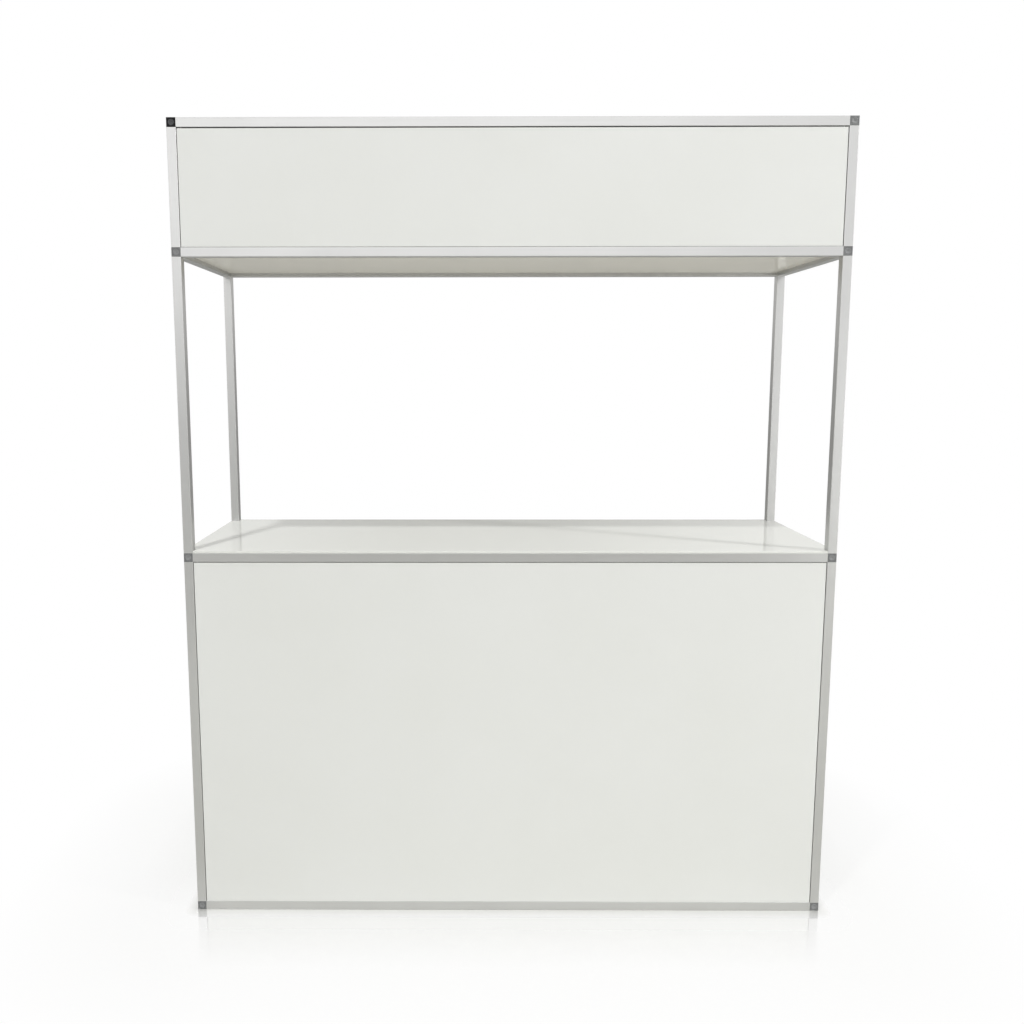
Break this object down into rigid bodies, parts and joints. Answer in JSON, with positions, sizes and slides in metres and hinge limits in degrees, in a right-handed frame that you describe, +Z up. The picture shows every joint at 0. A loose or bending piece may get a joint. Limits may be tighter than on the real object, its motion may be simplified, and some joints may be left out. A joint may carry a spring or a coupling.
{
  "type": "registration counter",
  "caption": "Free-standing registration counter with a header: square tube frame on corner connectors, white sheet panels, a serving window between countertop and header, open at the back.",
  "frame": {"origin": "on the floor, under the middle of the counter's outline", "axes": "+X to the visitor's right, +Y from the visitor's side to the attendant's side, +Z up"},
  "size_m": [1.8, 0.5, 2.21],
  "materials": {
    "anodised_aluminium": "satin anodised extrusion",
    "white_sheet": "gloss white sheet",
    "grey_nylon": "moulded, matt",
    "black_nylon": "moulded, matt",
    "zinc_steel": "zinc plated",
    "black_rubber": "matt cellular rubber strip"
  },
  "bodies": {
    "root": {"base_connector_front_left": "grey_nylon", "base_connector_front_right": "grey_nylon", "base_connector_rear_left": "grey_nylon", "base_connector_rear_right": "grey_nylon", "counter_connector_front_left": "grey_nylon", "counter_connector_front_right": "grey_nylon", "counter_connector_rear_left": "grey_nylon", "counter_connector_rear_right": "grey_nylon", "header_connector_front_left": "grey_nylon", "header_connector_front_right": "grey_nylon", "header_connector_rear_left": "grey_nylon", "header_connector_rear_right": "grey_nylon", "top_connector_front_left": "black_nylon", "top_connector_front_right": "grey_nylon", "top_connector_rear_left": "grey_nylon", "top_connector_rear_right": "grey_nylon", "lower_post_front_left": "anodised_aluminium", "lower_post_front_right": "anodised_aluminium", "lower_post_rear_left": "anodised_aluminium", "lower_post_rear_right": "anodised_aluminium", "window_post_front_left": "anodised_aluminium", "window_post_front_right": "anodised_aluminium", "window_post_rear_left": "anodised_aluminium", "window_post_rear_right": "anodised_aluminium", "header_post_front_left": "anodised_aluminium", "header_post_front_right": "anodised_aluminium", "header_post_rear_left": "anodised_aluminium", "header_post_rear_right": "anodised_aluminium", "base_rail_front": "anodised_aluminium", "base_rail_rear": "anodised_aluminium", "base_rail_left": "anodised_aluminium", "base_rail_right": "anodised_aluminium", "counter_rail_front": "anodised_aluminium", "counter_rail_rear": "anodised_aluminium", "counter_rail_left": "anodised_aluminium", "counter_rail_right": "anodised_aluminium", "header_rail_front": "anodised_aluminium", "header_rail_rear": "anodised_aluminium", "header_rail_left": "anodised_aluminium", "header_rail_right": "anodised_aluminium", "top_rail_front": "anodised_aluminium", "top_rail_rear": "anodised_aluminium", "top_rail_left": "anodised_aluminium", "top_rail_right": "anodised_aluminium", "counter_front_panel": "white_sheet", "counter_left_panel": "white_sheet", "counter_right_panel": "white_sheet", "countertop_panel": "white_sheet", "header_front_panel": "white_sheet", "header_left_panel": "white_sheet", "header_right_panel": "white_sheet", "header_ceiling_panel": "white_sheet", "counter_panel_seals": "black_rubber", "header_panel_seals": "black_rubber", "connector_plugs": "grey_nylon", "black_connector_plugs": "black_nylon", "foot_inserts": "zinc_steel"}
  },
  "joints": []
}
